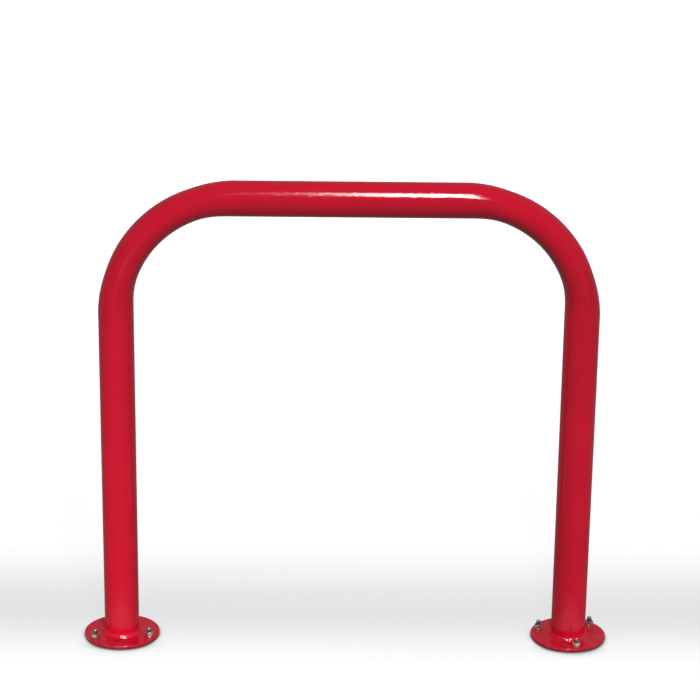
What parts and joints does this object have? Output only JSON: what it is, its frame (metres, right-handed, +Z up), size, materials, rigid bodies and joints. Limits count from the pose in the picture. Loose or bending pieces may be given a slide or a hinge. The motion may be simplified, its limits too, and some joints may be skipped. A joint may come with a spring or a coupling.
{
  "type": "hoop bike rack",
  "caption": "Bicycle stand of one bent steel pipe with a flat top, on welded round flanges held down by wedge anchors.",
  "frame": {"origin": "on the paving, at the level of both flanges' undersides, midway between the two legs", "axes": "+X along the hoop towards the right leg, +Y from the front to the back, +Z up"},
  "size_m": [0.922, 0.132, 0.8812],
  "materials": {
    "powder_coat": "glossy bright red powder coat on steel",
    "zinc_plate": "bright zinc-plated steel",
    "clip_steel": "stamped stainless sheet"
  },
  "bodies": {
    "root": {"hoop_tube": "powder_coat", "left_base_flange": "powder_coat", "left_weld_bead": "powder_coat", "left_anchor_stud_1": "zinc_plate", "left_expansion_clip_1": "clip_steel", "left_washer_1": "zinc_plate", "left_nut_1": "zinc_plate", "left_anchor_stud_2": "zinc_plate", "left_expansion_clip_2": "clip_steel", "left_washer_2": "zinc_plate", "left_nut_2": "zinc_plate", "left_anchor_stud_3": "zinc_plate", "left_expansion_clip_3": "clip_steel", "left_washer_3": "zinc_plate", "left_nut_3": "zinc_plate", "right_base_flange": "powder_coat", "right_weld_bead": "powder_coat", "right_anchor_stud_1": "zinc_plate", "right_expansion_clip_1": "clip_steel", "right_washer_1": "zinc_plate", "right_nut_1": "zinc_plate", "right_anchor_stud_2": "zinc_plate", "right_expansion_clip_2": "clip_steel", "right_washer_2": "zinc_plate", "right_nut_2": "zinc_plate", "right_anchor_stud_3": "zinc_plate", "right_expansion_clip_3": "clip_steel", "right_washer_3": "zinc_plate", "right_nut_3": "zinc_plate"}
  },
  "joints": []
}
